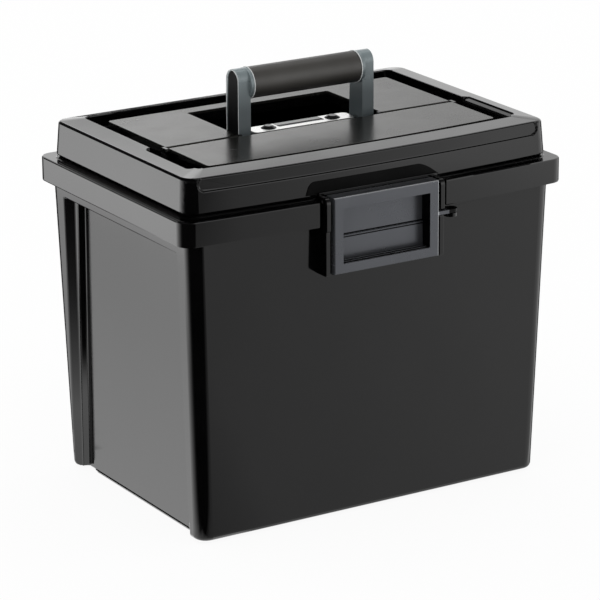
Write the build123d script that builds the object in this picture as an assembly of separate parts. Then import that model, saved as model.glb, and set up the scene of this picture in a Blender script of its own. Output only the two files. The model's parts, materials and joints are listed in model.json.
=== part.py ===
from build123d import *
import os

os.makedirs("parts", exist_ok=True)

# Portable letter-size hanging-file box.
# X runs across the box, Y runs from the latch (-Y) to the lid hinge (+Y), Z is up.
# The box stands on Z = 0.  All sizes are millimetres.

# ---------------------------------------------------------------- fits
RUN_FIT = 0.05      # radial clearance of a pin that turns in its bore
LID_FIT = 0.5       # gap between the lid lip and the upstand inside it
LATCH_FIT = 2.3     # side gap between the latch and its cheeks
TAB_FIT = 0.5       # gap below the padlock tab
TAB_SWING = 1.8     # room above the padlock tab, for its swing
WEB_FIT = 0.3       # gap between the lid apron and the box wall
INLAY_FIT = 0.1     # gap round the dark inlay in the handle arm
PIN_FIT = 0.2       # gap between the handle pins and the cover strip
BEAD_FIT = 0.8      # gap below the round edge of a flap
SEAM_GAP = 1.8      # gap between the two flaps
EAR_GAP = 0.4       # side gap between a hinge knuckle and its ears
FLAP_FIT = 0.4      # gap between the handle well's walls and the flap cut-out
FINGER_GAP = 9.3    # room behind the folded grip

# ---------------------------------------------------------------- box body
FOOT = 2.5          # height of the foot rim under the floor
FOOT_Y = 92.0       # half length of the foot rim
FOOT_W = 4.0        # width of the foot rim
FOOT_R = 10.0
FOOT_IN = 0.5       # foot rim inside the recess panel
WALL = 2.5          # wall of the box body
FLOOR = 2.5         # floor of the box body
BODY_X0, BODY_Y0 = 334.0, 229.0     # outer size at the bottom
BODY_X1, BODY_Y1 = 350.0, 241.0     # outer size under the rim
BODY_R = 12.0       # vertical corner radius
EDGE_R = 3.5        # rounded bottom edge
RIM_X, RIM_Y = 368.0, 250.0         # outer size of the rim band
RIM_Z1 = 280.0      # top of the ledge
RIM_H = 21.0        # height of the rim band
RIM_Z0 = RIM_Z1 - RIM_H
RIM_T = 2.3         # thickness of the rim band
RIM_BOW = 6.8       # outward bow of the front of rim and lid
SEAT_H = 1.0        # raised seat that the lid lip rests on
SEAT_OUT = 1.9      # seat proud of the lip
UPSTAND_H = 6.0     # height of the upstand inside the lid
UPSTAND_T = 2.3
UPSTAND_Z = RIM_Z1 + UPSTAND_H

# side recesses, which also carry the hanging-folder rails
REC_DROP = 11.5     # ceiling of the recess below the rim band
REC_Z1 = RIM_Z0 - REC_DROP
REC_YF = -96.0      # front end of the recess
REC_X0, REC_X1 = 156.8, 162.0       # inner panel, at the bottom and at the top
REC_Y0, REC_Y1 = 96.5, 82.0         # its rear end, at the bottom and at the top
REC_SLOPE = 0.45    # the panel's rear wall runs back this much for each mm outwards
STEP_X0, STEP_X1 = 162.0, 167.3     # outer step, at the bottom and at the top
STEP_Y0, STEP_Y1 = 99.0, 89.0       # its rear end, at the bottom and at the top
STEP_SLOPE = 1.1
RAIL_T = 2.4        # thickness of a folder rail
RAIL_H = 11.5       # height of a folder rail above the recess ceiling
RAIL_L = 164.0      # length of a folder rail
RAIL_X = REC_X1 - WALL - 2.3        # inner face of a folder rail

# ---------------------------------------------------------------- lid
LIP_H = 1.8         # height of the lip under the skirt
LID_Z0 = RIM_Z1 + SEAT_H + LIP_H
SKIRT_H = 28.9
LID_Z1 = LID_Z0 + SKIRT_H
LID_X1, LID_Y1 = 347.0, 226.2       # outer size at the top edge
LID_FLARE = 3.4     # the skirt is this much larger at its bottom
LID_X0, LID_Y0 = LID_X1 + LID_FLARE, LID_Y1 + LID_FLARE
LID_R = 12.0
LID_T = 2.4
LID_EDGE_R = 2.4    # rounded top edge
LIP_X, LIP_Y = LID_X0 - 3.2, LID_Y0 - 3.2     # outer size of the lip
CREST_H = 2.3       # rise of the sloping top rim
CREST_Z = LID_Z1 + CREST_H
FLAP_SINK = 1.7     # top of the flaps below the crest
FLAP_Z = CREST_Z - FLAP_SINK
FLAP_T = 2.5
FLAP_R = 3.0
FLAP_X, FLAP_YB, FLAP_YF = 139.0, 81.0, -87.0
CHANNEL_X, CHANNEL_B, CHANNEL_F = 14.0, 17.0, 8.0   # finger channel beside, behind and before the flaps
WELL_X, WELL_YB, WELL_YF = FLAP_X + CHANNEL_X, FLAP_YB + CHANNEL_B, FLAP_YF - CHANNEL_F
WELL_R = 6.0
WELL_BOW = 5.0
MOAT_D = 12.0       # depth of the channel
MOAT_Z = CREST_Z - MOAT_D
TRAY_D = 30.0       # depth of the organiser tray
TRAY_Z = CREST_Z - TRAY_D
TRAY_T = 2.2
FLAP_LAP = 2.4      # the flaps overhang the tray walls by this much
RING_R = 4.0        # corner radius of the tray
RING_X, RING_YB, RING_YF = FLAP_X - FLAP_LAP, FLAP_YB - FLAP_LAP, FLAP_YF + FLAP_LAP
WEB_T = 2.2         # walls and dividers of the tray
DIVIDER_X = 47.1    # middle of each front divider
STRIP_H = 11.2      # height of the grooved strip along the front
STRIP_X = 163.4     # half length of the strip
STRIP_D = 0.9       # depth of the strip
SCOOP_Y0, SCOOP_Y1 = FLAP_YF - 3.0, -18.0     # dished finger scoops beside the front flap
SCOOP_W = 5.2
SCOOP_D = 3.6       # depth below the crest at the channel
SCOOP_STEP = 1.2    # depth below the crest at the outer edge
SCOOP_R = 4.0

# ---------------------------------------------------------------- lid hinge
HINGE_Y, HINGE_Z = 131.4, RIM_Z1 + 4.0    # axis of the lid hinge
HINGE_X = 105.0     # middle of each hinge
HINGE_PIN_R = 2.0
HINGE_BARREL_R = 4.6
KNUCKLE_L = 24.0    # length of the lid knuckle
EAR_T = 5.0         # thickness of each ear on the box
EAR_DROP = 14.0     # the ears' webs reach this far down the rim band

# ---------------------------------------------------------------- flap hinges
SEAM_Y = -20.5
BEAD_R = 2.0        # round hinge edge of each flap
ROD_R = 1.0
RIB_H = 2.0         # height of the ribs under the flaps
RIB_T = 1.6
LUG_GAP = 0.6       # gap between a flap end and its hinge lug
LUG_T = 2.6         # thickness of the end lugs
MID_LUG_T = 2.4     # thickness of the lugs beside the handle

# ---------------------------------------------------------------- handle
PIVOT_DROP = 8.5    # handle pivot below the top of the flaps
PIVOT_Y, PIVOT_Z = -2.0, FLAP_Z - PIVOT_DROP
PIVOT_R = 4.0
ARM_X0, ARM_X1 = 54.7, 66.0
ARM_FOOT_R = 10.7
GRIP_RISE = 47.4    # height of the grip above the pivot
GRIP_Y, GRIP_Z, GRIP_R = PIVOT_Y - 1.2, PIVOT_Z + GRIP_RISE, 13.3
HEAD_R = 9.4        # round top of each arm, level with the top of the grip
HEAD_Y, HEAD_Z = GRIP_Y - 0.1, GRIP_Z + GRIP_R - HEAD_R
COLLAR_H = 2.5      # round collar on the inner face of each arm
COLLAR_X = ARM_X0 - COLLAR_H
CORE_R = 6.0
CORE_X = ARM_X0 + 3.0               # half length of the grip core
SCREW_R = 2.0
SCREW_L = 14.0      # thread length in the core
SCREW_HEAD_R, SCREW_HEAD_H = 3.8, 2.6
INLAY_D = 1.6
INLAY_RIM = 1.3
PIVOT_IN, PIVOT_OUT = ARM_X0 - 15.2, ARM_X1 - 4.5   # ends of each pivot pin

# ---------------------------------------------------------------- handle well
CUT_X = ARM_X1 + 4.0                # half width of the cut-out in the rear flap
CUT_Y = PIVOT_Y + GRIP_RISE + GRIP_R + FINGER_GAP
BOSS_X, BOSS_YF, BOSS_YR = ARM_X0 - 3.7, PIVOT_Y - 11.0, PIVOT_Y + 13.0
BOSS_Z = PIVOT_Z + PIVOT_R + PIN_FIT
POST_R = 4.5        # screw posts inside the boss
COVER_X, COVER_Y, COVER_T = BOSS_X - 2.0, 9.2, 1.5
COVER_SCREW_X = 31.3
COVER_SCREW_R = 1.9
COVER_SCREW_L = 12.0
COVER_HEAD_R, COVER_HEAD_H = 7.0, 2.1
STOP_T = 2.5        # posts that stop the upright handle
REST_Y = 30.0       # ribs below the folded handle

# ---------------------------------------------------------------- latch
LATCH_X = 50.7      # half width
LATCH_YF, LATCH_YB = -136.0, -122.6
LATCH_Z1 = RIM_Z1 + 3.1
LATCH_H = 64.6
LATCH_Z0 = LATCH_Z1 - LATCH_H
LATCH_T = 2.0
POCKET_X = 42.0     # half width of the finger recess in the latch
POCKET_Z0, POCKET_Z1 = LATCH_Z0 + 8.3, LATCH_Z1 - 9.6
POCKET_Y = LATCH_YB - 1.8           # floor of the finger recess
SHELF_Z = POCKET_Z0 + 20.7          # top of the thicker lower part of that floor
LATCH_PIN_Y, LATCH_PIN_Z, LATCH_PIN_R = LATCH_YB - 4.9, LATCH_Z1 - 3.6, 1.5
LATCH_BOSS_R, LATCH_BOSS_L = 3.3, 5.0
LATCH_TOP_Y = LATCH_PIN_Y + 3.3     # rear edge of the latch's top wall
CHEEK_T = 4.0
CHEEK_X0 = LATCH_X + LATCH_FIT
CHEEK_X1 = CHEEK_X0 + CHEEK_T
CHEEK_YF = LATCH_YF + 1.0
LOW_CHEEK_YF = LATCH_YF + 2.4
CHEEK_R = 5.0
TAB_DROP = 30.0     # underside of the padlock tab below the latch top
TAB_T = 3.0
TAB_Z0 = LATCH_Z1 - TAB_DROP
TAB_Z1 = TAB_Z0 + TAB_T
CHEEK_SPLIT = TAB_Z0 + 2.6
CHEEK_Z0 = LATCH_Z0 - 1.2
EYE_X, EYE_Y = CHEEK_X1 + 9.0, LATCH_YF + 5.8
EYE_R = 3.0         # padlock hole in the tab
LUG_EYE_R = 3.4     # wider hole in the lug below
EYE_RING_R = 5.4
LUG_H = 3.4         # thickness of the lug below the tab
LUG_TOP = TAB_Z0 - TAB_FIT
BAND_GAP_X = CHEEK_X1 + 4.0         # half width of the gap in the rim band


# ---------------------------------------------------------------- helpers
def block(x0, x1, y0, y1, z0, z1):
    """Axis-aligned box between two corners."""
    size = Box(x1 - x0, y1 - y0, z1 - z0)
    return Pos((x0 + x1) / 2, (y0 + y1) / 2, (z0 + z1) / 2) * size


def rod_x(x0, x1, y, z, r):
    """Round bar that lies along X."""
    bar = Cylinder(r, x1 - x0, rotation=(0, 90, 0))
    return Pos((x0 + x1) / 2, y, z) * bar


def post_z(x, y, z0, z1, r):
    """Upright round bar."""
    return Pos(x, y, (z0 + z1) / 2) * Cylinder(r, z1 - z0)


def mirror_x(shape):
    return mirror(shape, about=Plane.YZ)


def plan(x, yb, yf, r, bow, z, hidden=False):
    """Rounded rectangle with a bowed front, half width x, from yb to yf, at height z.

    A hidden one, inside the mouldings, has cut corners in place of round ones.
    """
    back = Line((x, yb), (-x, yb))
    left = Line((-x, yb), (-x, yf))
    right = Line((x, yf), (x, yb))
    if bow > 0:
        front = ThreePointArc((-x, yf), (0, yf - bow), (x, yf))
    else:
        front = Line((-x, yf), (x, yf))
    face = make_face([back, left, front, right])
    corners = chamfer(face.vertices(), 0.6 * r) if hidden else fillet(face.vertices(), r)
    return Pos(0, 0, z) * corners


def prism(x, yb, yf, r, bow, z0, z1, hidden=False):
    """Straight solid on a plan."""
    return extrude(plan(x, yb, yf, r, bow, z0, hidden), z1 - z0)


def taper(*plans):
    """Solid through two or more plans, with straight walls between them."""
    return loft(list(plans), ruled=True)


def rect(size_x, size_y, r, bow, z, inset=0.0, hidden=False):
    """Plan centred on the box, shrunk by inset on every side."""
    half = size_x / 2 - inset
    return plan(half, size_y / 2 - inset, -size_y / 2 + inset, max(r - inset, 1.0), bow, z, hidden)


# ---------------------------------------------------------------- box body
def recess(grow):
    """Stepped recess in the right side; grow makes the matching inside shape."""
    far = BODY_X1
    yf = REC_YF - grow

    def level(x, yr, slope, z):
        inner_x = x - grow
        back = yr + grow
        far_back = back + slope * (far - inner_x)
        line = Polyline((inner_x, yf), (far, yf), (far, far_back), (inner_x, back), close=True)
        return make_face(Pos(0, 0, z) * line)

    z0 = -1.0
    z1 = REC_Z1 + grow
    panel = taper(level(REC_X0, REC_Y0, REC_SLOPE, z0), level(REC_X1, REC_Y1, REC_SLOPE, z1))
    step = taper(level(STEP_X0, STEP_Y0, STEP_SLOPE, z0), level(STEP_X1, STEP_Y1, STEP_SLOPE, z1))
    return panel + step


def body_shell():
    """Tapered box body with rounded bottom edge, hollow, with stepped side recesses."""
    outer = taper(
        rect(BODY_X0, BODY_Y0, BODY_R, 0, FOOT, EDGE_R),
        rect(BODY_X0, BODY_Y0, BODY_R, 0, FOOT + 0.27 * EDGE_R, 0.32 * EDGE_R),
        rect(BODY_X0, BODY_Y0, BODY_R, 0, FOOT + EDGE_R),
        rect(BODY_X1, BODY_Y1, BODY_R, 0, RIM_Z0),
    )
    outer += extrude(rect(BODY_X1, BODY_Y1, BODY_R, 0, RIM_Z0), RIM_Z1 - WALL / 2 - RIM_Z0)
    inner = taper(
        rect(BODY_X0, BODY_Y0, BODY_R, 0, FOOT + FLOOR, WALL),
        rect(BODY_X1, BODY_Y1, BODY_R, 0, RIM_Z0, WALL),
    )
    inner += extrude(rect(BODY_X1, BODY_Y1, BODY_R, 0, RIM_Z0, WALL), RIM_H)
    cut = recess(0.0)
    keep = recess(WALL)
    outer -= cut
    outer -= mirror_x(cut)
    inner -= keep
    inner -= mirror_x(keep)
    return outer - inner


def foot_rim():
    """Low rim under the floor that the box stands on."""
    x = REC_X0 - FOOT_IN
    inner_y = FOOT_Y - FOOT_W
    ring = prism(x, FOOT_Y, -FOOT_Y, FOOT_R, 0, 0.0, FOOT + 0.6)
    return ring - prism(x - FOOT_W, inner_y, -inner_y, FOOT_R - FOOT_W, 0, -1.0, FOOT + 0.6, True)


def rim_band():
    """Turned-down rim with the flat ledge, the lid seat and the upstand."""
    half_up = LIP_X / 2 - LID_T - LID_FIT
    up_y = LIP_Y / 2 - LID_T - LID_FIT
    band = extrude(rect(RIM_X, RIM_Y, BODY_R, RIM_BOW, RIM_Z0), RIM_Z1 - RIM_Z0)
    under = rect(RIM_X, RIM_Y, BODY_R, RIM_BOW, RIM_Z0 - 1, RIM_T, True)
    band -= extrude(under, RIM_Z1 - RIM_T - RIM_Z0 + 1)
    band += extrude(rect(LIP_X, LIP_Y, LID_R, RIM_BOW, RIM_Z1 - 1, -SEAT_OUT), SEAT_H + 1)
    band += prism(half_up, up_y, -up_y, LID_R - 3, RIM_BOW, RIM_Z1 - RIM_T, UPSTAND_Z)
    mouth_x = half_up - UPSTAND_T
    mouth_y = up_y - UPSTAND_T
    band -= prism(mouth_x, mouth_y, -mouth_y, LID_R - 5, RIM_BOW, RIM_Z0, UPSTAND_Z + 1)
    wall_y = -BODY_Y1 / 2
    band -= block(-BAND_GAP_X, BAND_GAP_X, wall_y - 30, wall_y, RIM_Z0 - 1, UPSTAND_Z + 1)
    return band


def folder_rails():
    """Upright rails on the two side shelves, which the hanging folders hook over."""
    half = RAIL_L / 2
    rail = block(RAIL_X, RAIL_X + RAIL_T, -half, half, REC_Z1 - WALL, REC_Z1 + RAIL_H)
    foot = block(RAIL_X, REC_X1 - WALL / 2, -half, half, REC_Z1 - WALL, REC_Z1 + WALL)
    return rail + foot


def hinge_ear(x0, x1):
    """One ear of the lid hinge on the back of the rim."""
    ear = rod_x(x0, x1, HINGE_Y, HINGE_Z, HINGE_BARREL_R)
    back_y = RIM_Y / 2
    web = block(x0, x1, back_y - 1, HINGE_Y + HINGE_BARREL_R, HINGE_Z - EAR_DROP, HINGE_Z)
    heel = block(x0, x1, back_y - 4, HINGE_Y, RIM_Z1 - 1, HINGE_Z)
    return ear + web + heel - rod_x(x0 - 1, x1 + 1, HINGE_Y, HINGE_Z, HINGE_PIN_R)


def low_cheeks():
    """Lower cheeks beside the latch, with the padlock lug on the right one."""
    wall_y = -BODY_Y1 / 2 + 3
    left = block(-CHEEK_X1, -CHEEK_X0, LOW_CHEEK_YF, wall_y, CHEEK_Z0, CHEEK_SPLIT - 0.3)
    right = block(CHEEK_X0, CHEEK_X1, LOW_CHEEK_YF, wall_y, CHEEK_Z0, LUG_TOP)
    lug = post_z(EYE_X, EYE_Y, LUG_TOP - LUG_H, LUG_TOP, EYE_RING_R)
    lug += block(EYE_X - EYE_RING_R, EYE_X + EYE_RING_R, EYE_Y, wall_y, LUG_TOP - LUG_H, LUG_TOP)
    lug -= post_z(EYE_X, EYE_Y, LUG_TOP - LUG_H - 1, TAB_Z1, LUG_EYE_R)
    left = fillet(left.edges().filter_by(Axis.X).group_by(Axis.Y)[0], 1.5)
    right = fillet(right.edges().filter_by(Axis.X).group_by(Axis.Y)[0], 1.5)
    return left + right + lug


def make_tub():
    tub = body_shell() + rim_band() + foot_rim()
    rails = folder_rails()
    tub += rails
    tub += mirror_x(rails)
    half = KNUCKLE_L / 2 + EAR_GAP
    for middle in (-HINGE_X, HINGE_X):
        tub += hinge_ear(middle - half - EAR_T, middle - half)
        tub += hinge_ear(middle + half, middle + half + EAR_T)
    tub += low_cheeks()
    return tub


def make_hinge_pin(side):
    """Steel pin pressed into the two ears of one lid hinge."""
    half = KNUCKLE_L / 2 + EAR_GAP + EAR_T
    middle = side * HINGE_X
    return rod_x(middle - half, middle + half, HINGE_Y, HINGE_Z, HINGE_PIN_R)


# ---------------------------------------------------------------- lid
def lid_outside():
    """Skirt, sloping rim and lip, still solid inside."""
    edge = LID_EDGE_R
    skirt = taper(
        rect(LID_X0, LID_Y0, LID_R, RIM_BOW, LID_Z0),
        rect(LID_X1, LID_Y1, LID_R, RIM_BOW, LID_Z1 - 0.8 * edge),
        rect(LID_X1, LID_Y1, LID_R, RIM_BOW, LID_Z1 - 0.2 * edge, 0.3 * edge),
        rect(LID_X1, LID_Y1, LID_R, RIM_BOW, LID_Z1, edge),
    )
    crown = taper(
        rect(LID_X1, LID_Y1, LID_R, RIM_BOW, LID_Z1, edge),
        plan(WELL_X, WELL_YB, WELL_YF, WELL_R, WELL_BOW, CREST_Z),
    )
    lip = extrude(rect(LIP_X, LIP_Y, LID_R, RIM_BOW, RIM_Z1 + SEAT_H), LID_Z0 - RIM_Z1 - SEAT_H)
    return skirt + crown + lip


def lid_hollow():
    """Space under the rim and inside the skirt, open at the bottom."""
    low = RIM_Z1 + SEAT_H - 1
    space = extrude(rect(LIP_X, LIP_Y, LID_R, RIM_BOW, low, LID_T, True), LID_Z0 + 2 - low)
    space += taper(
        rect(LID_X0, LID_Y0, LID_R, RIM_BOW, LID_Z0 + 1.9, LID_T + 0.2, True),
        rect(LID_X1, LID_Y1, LID_R, RIM_BOW, LID_Z1 - LID_T, LID_T, True),
    )
    return space


def well_block():
    """Walls of the well, channel floor and tray, as one solid block."""
    wall = prism(
        WELL_X + LID_T, WELL_YB + LID_T, WELL_YF - LID_T, WELL_R, WELL_BOW, MOAT_Z - LID_T, LID_Z1, True
    )
    tray = prism(RING_X, RING_YB, RING_YF, RING_R, WELL_BOW, TRAY_Z - TRAY_T, LID_Z1, True)
    return wall + tray


def tray_space():
    """Compartments of the tray, cut from above."""
    floor = TRAY_Z
    top = CREST_Z + 4
    inner = prism(RING_X - WEB_T, RING_YB - WEB_T, RING_YF + WEB_T, RING_R - WEB_T, WELL_BOW, floor, top, True)
    half = WEB_T / 2
    web_top = FLAP_Z - 2 * BEAD_R - BEAD_FIT
    inner -= block(-RING_X, RING_X, SEAM_Y - half, SEAM_Y + half, floor - 1, web_top)
    side = CUT_X + FLAP_FIT
    flap_under = FLAP_Z - FLAP_T
    for s in (-1, 1):
        xs = sorted((s * side, s * (side + WEB_T)))
        inner -= block(xs[0], xs[1], SEAM_Y, RING_YB, floor - 1, flap_under)
        divider = s * DIVIDER_X
        inner -= block(divider - half, divider + half, RING_YF - WELL_BOW, SEAM_Y, floor - 1, web_top)
    back = CUT_Y + FLAP_FIT
    inner -= block(-side, side, back, back + WEB_T, floor - 1, flap_under)
    front_y, rear_y = bead_axes()
    reach = BEAD_R + BEAD_FIT
    inner += block(-RING_X - 1, RING_X + 1, front_y - reach, rear_y + reach, web_top, top)
    return inner


def moat_space():
    """Finger channel between the well wall and the tray ring."""
    outer = prism(WELL_X, WELL_YB, WELL_YF, WELL_R, WELL_BOW, MOAT_Z, CREST_Z + 4)
    ring = prism(RING_X, RING_YB, RING_YF, RING_R, WELL_BOW, MOAT_Z - 1, FLAP_Z - FLAP_T, True)
    return outer - ring


def finger_scoops():
    """Sloping dips in the rim beside the front flap, for lifting it."""
    inner_x = WELL_X - 1.0
    outer_x = WELL_X + SCOOP_W
    low = CREST_Z - SCOOP_D
    high = CREST_Z - SCOOP_STEP
    top = CREST_Z + 1
    profile = Polyline((inner_x, top), (inner_x, low), (outer_x, high), (outer_x, top), close=True)
    cut = Pos(0, SCOOP_Y1, 0) * extrude(Plane.XZ * make_face(profile), SCOOP_Y1 - SCOOP_Y0, (0, -1, 0))
    ends = cut.edges().filter_by(Axis.Z).group_by(Axis.X)[-1]
    cut = fillet(ends, SCOOP_R)
    return cut + mirror_x(cut)


def front_strip():
    """Shallow strip with round ends under the front top edge."""
    low_z = LID_Z1 - STRIP_H
    face = Plane.XZ * Pos(0, LID_Z1 - STRIP_H / 2) * SlotOverall(2 * STRIP_X, STRIP_H)
    bar = extrude(face, LID_Y0)
    bowed = plan(LID_X1 / 2, LID_Y1 / 2, -LID_Y1 / 2 + STRIP_D, LID_R, RIM_BOW, low_z - 1)
    return bar - extrude(bowed, 2 * STRIP_H)


def upper_cheeks():
    """Apron behind the latch with the two upper cheeks that carry the latch pin."""
    apron_y0 = LATCH_YB + 0.4
    apron_y1 = -BODY_Y1 / 2 - WEB_FIT
    apron = block(-CHEEK_X1, CHEEK_X1, apron_y0, apron_y1, CHEEK_SPLIT, LID_Z0 + 1)
    apron += block(-CHEEK_X1, CHEEK_X1, apron_y0, apron_y1 + 1.6, RIM_Z1 + SEAT_H + 0.2, LID_Z0 + 1)
    apron += block(-CHEEK_X1, CHEEK_X1, apron_y0 - 1.2, apron_y1 + 2.2, LATCH_Z1 + 0.1, LATCH_Z1 + 2.5)
    left = block(-CHEEK_X1, -CHEEK_X0, CHEEK_YF, apron_y1, CHEEK_SPLIT, LATCH_Z1)
    right = block(CHEEK_X0, CHEEK_X1, CHEEK_YF, apron_y1, TAB_Z1 + TAB_SWING, LATCH_Z1)
    left = fillet(left.edges().filter_by(Axis.X).group_by(Axis.Y)[0].sort_by(Axis.Z)[-1], CHEEK_R)
    right = fillet(right.edges().filter_by(Axis.X).group_by(Axis.Y)[0].sort_by(Axis.Z)[-1], CHEEK_R)
    cheeks = apron + left + right
    slot_top = TAB_Z1 + TAB_SWING
    cheeks -= block(CHEEK_X0 - 1, CHEEK_X1 + 1, CHEEK_YF, apron_y1 + 1, CHEEK_SPLIT - 1, slot_top)
    cheeks -= rod_x(-CHEEK_X1, CHEEK_X1, LATCH_PIN_Y, LATCH_PIN_Z, LATCH_PIN_R)
    return cheeks


def lid_knuckle(middle):
    """Knuckle that reaches from the lid to the hinge pin."""
    x0 = middle - KNUCKLE_L / 2
    x1 = middle + KNUCKLE_L / 2
    barrel = rod_x(x0, x1, HINGE_Y, HINGE_Z, HINGE_BARREL_R)
    arm = block(x0, x1, LID_Y0 / 2 - 1.5, HINGE_Y, RIM_Z1 + SEAT_H + 0.6, HINGE_Z + HINGE_BARREL_R)
    return barrel + arm - rod_x(x0 - 1, x1 + 1, HINGE_Y, HINGE_Z, HINGE_PIN_R + RUN_FIT)


def handle_boss():
    """Hollow boss between the handle arms, with saddles for the pivot pins and screw posts."""
    boss = block(-BOSS_X, BOSS_X, BOSS_YF, BOSS_YR, TRAY_Z - 1, BOSS_Z)
    boss = fillet(boss.edges().filter_by(Axis.Z), 2.0)
    under = TRAY_Z - TRAY_T - 1
    half = PIVOT_IN - 1.5
    space = block(-half, half, BOSS_YF + WEB_T, BOSS_YR - WEB_T, under, BOSS_Z - WEB_T)
    for x in (-COVER_SCREW_X, COVER_SCREW_X):
        space -= post_z(x, PIVOT_Y, under, BOSS_Z, POST_R)
    slot_r = PIVOT_R + RUN_FIT
    for s in (-1, 1):
        xs = sorted((s * (PIVOT_IN - 0.5), s * (BOSS_X + 1)))
        boss -= rod_x(xs[0], xs[1], PIVOT_Y, PIVOT_Z, slot_r)
        boss -= block(xs[0], xs[1], PIVOT_Y - slot_r, PIVOT_Y + slot_r, PIVOT_Z, BOSS_Z + 1)
    return boss, space


def flap_lugs():
    """Hinge lugs for the flap rods, at both ends of the seam and beside the handle."""
    front_y, rear_y = bead_axes()
    z = FLAP_Z - BEAD_R
    x0 = FLAP_X + LUG_GAP
    x1 = x0 + LUG_T
    end = block(x0, x1, front_y - BEAD_R, rear_y + BEAD_R, MOAT_Z - 1, z + BEAD_R)
    end = fillet(end.edges().filter_by(Axis.X).group_by(Axis.Z)[-1], BEAD_R - 0.1)
    end -= rod_x(x0 - 1, x1 + 1, front_y, z, ROD_R)
    end -= rod_x(x0 - 1, x1 + 1, rear_y, z, ROD_R)
    mid0, mid1 = mid_lug()
    middle = block(mid0, mid1, rear_y - 1.9, rear_y + 2.6, TRAY_Z - 1, z + BEAD_R)
    middle = fillet(middle.edges().filter_by(Axis.X).group_by(Axis.Z)[-1], 1.5)
    middle -= rod_x(mid0 - 1, mid1 + 1, rear_y, z, ROD_R)
    lugs = end + middle
    return lugs + mirror_x(lugs)


def mid_lug():
    """X of the two faces of the lug beside the handle."""
    outer = CUT_X - 0.6
    return outer - MID_LUG_T, outer


def handle_stops():
    """Posts that stop the handle upright, and ribs that it rests on when folded."""
    x0 = ARM_X0 + 1.3
    x1 = ARM_X1 - 2.0
    front = PIVOT_Y - ARM_FOOT_R
    stop = block(x0, x1, front - STOP_T, front, TRAY_Z - 1, BOSS_Z)
    rest = block(x0, x1, REST_Y, REST_Y + WEB_T, TRAY_Z - 1, PIVOT_Z - ARM_FOOT_R)
    pair = stop + rest
    return pair + mirror_x(pair)


def make_lid():
    lid = lid_outside() - lid_hollow()
    block_in = well_block() - tray_space() - moat_space()
    lid -= prism(WELL_X, WELL_YB, WELL_YF, WELL_R, WELL_BOW, MOAT_Z, CREST_Z + 4)
    lid += block_in
    lid -= finger_scoops()
    lid -= front_strip()
    boss, space = handle_boss()
    lid += boss
    lid -= space
    lid += flap_lugs()
    lid += handle_stops()
    lid += upper_cheeks()
    lid += lid_knuckle(-HINGE_X)
    lid += lid_knuckle(HINGE_X)
    for x in (-COVER_SCREW_X, COVER_SCREW_X):
        lid -= post_z(x, PIVOT_Y, BOSS_Z - COVER_SCREW_L - 2, BOSS_Z + 1, COVER_SCREW_R)
    return lid


# ---------------------------------------------------------------- flaps
def bead_axes():
    """Y of the hinge axes of the front and rear flap."""
    return SEAM_Y - SEAM_GAP / 2 - BEAD_R, SEAM_Y + SEAM_GAP / 2 + BEAD_R


def make_front_flap():
    front_y, rear_y = bead_axes()
    under = FLAP_Z - FLAP_T
    skin = prism(FLAP_X, front_y + FLAP_R, FLAP_YF, FLAP_R, WELL_BOW, under, FLAP_Z)
    skin -= block(-FLAP_X - 1, FLAP_X + 1, front_y, front_y + 2 * FLAP_R, under - 1, FLAP_Z + 1)
    flap = skin + rod_x(-FLAP_X, FLAP_X, front_y, FLAP_Z - BEAD_R, BEAD_R)
    rib_y = RING_YF + WEB_T + 1.0
    rib_x = RING_X - WEB_T - 1.0
    flap += block(-rib_x, rib_x, rib_y, rib_y + RIB_T, under - RIB_H, under + 0.5)
    for x in (-0.65 * FLAP_X, 0.0, 0.65 * FLAP_X):
        flap += block(x - RIB_T / 2, x + RIB_T / 2, rib_y, front_y - 6, under - RIB_H, under + 0.5)
    return flap - rod_x(-FLAP_X - 1, FLAP_X + 1, front_y, FLAP_Z - BEAD_R, ROD_R + RUN_FIT)


def make_rear_flap():
    front_y, rear_y = bead_axes()
    under = FLAP_Z - FLAP_T
    skin = prism(FLAP_X, FLAP_YB, rear_y - FLAP_R, FLAP_R, 0, under, FLAP_Z)
    skin -= block(-FLAP_X - 1, FLAP_X + 1, rear_y - 2 * FLAP_R, rear_y, under - 1, FLAP_Z + 1)
    flap = skin + rod_x(-FLAP_X, FLAP_X, rear_y, FLAP_Z - BEAD_R, BEAD_R)
    cut = block(-CUT_X, CUT_X, rear_y - 10, CUT_Y, under - 6, FLAP_Z + 1)
    cut = fillet(cut.edges().filter_by(Axis.Z).group_by(Axis.Y)[-1], 2.0)
    rib_y = RING_YB - WEB_T - 1.0
    for x in (-0.75 * FLAP_X, 0.75 * FLAP_X):
        flap += block(x - RIB_T / 2, x + RIB_T / 2, rear_y + 6, rib_y, under - RIB_H, under + 0.5)
    flap -= cut
    return flap - rod_x(-FLAP_X - 1, FLAP_X + 1, rear_y, FLAP_Z - BEAD_R, ROD_R + RUN_FIT)


def make_front_rod():
    front_y, rear_y = bead_axes()
    end = FLAP_X + LUG_GAP + LUG_T
    return rod_x(-end, end, front_y, FLAP_Z - BEAD_R, ROD_R)


def make_rear_rod(side):
    front_y, rear_y = bead_axes()
    ends = sorted((side * mid_lug()[0], side * (FLAP_X + LUG_GAP + LUG_T)))
    return rod_x(ends[0], ends[1], rear_y, FLAP_Z - BEAD_R, ROD_R)


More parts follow.
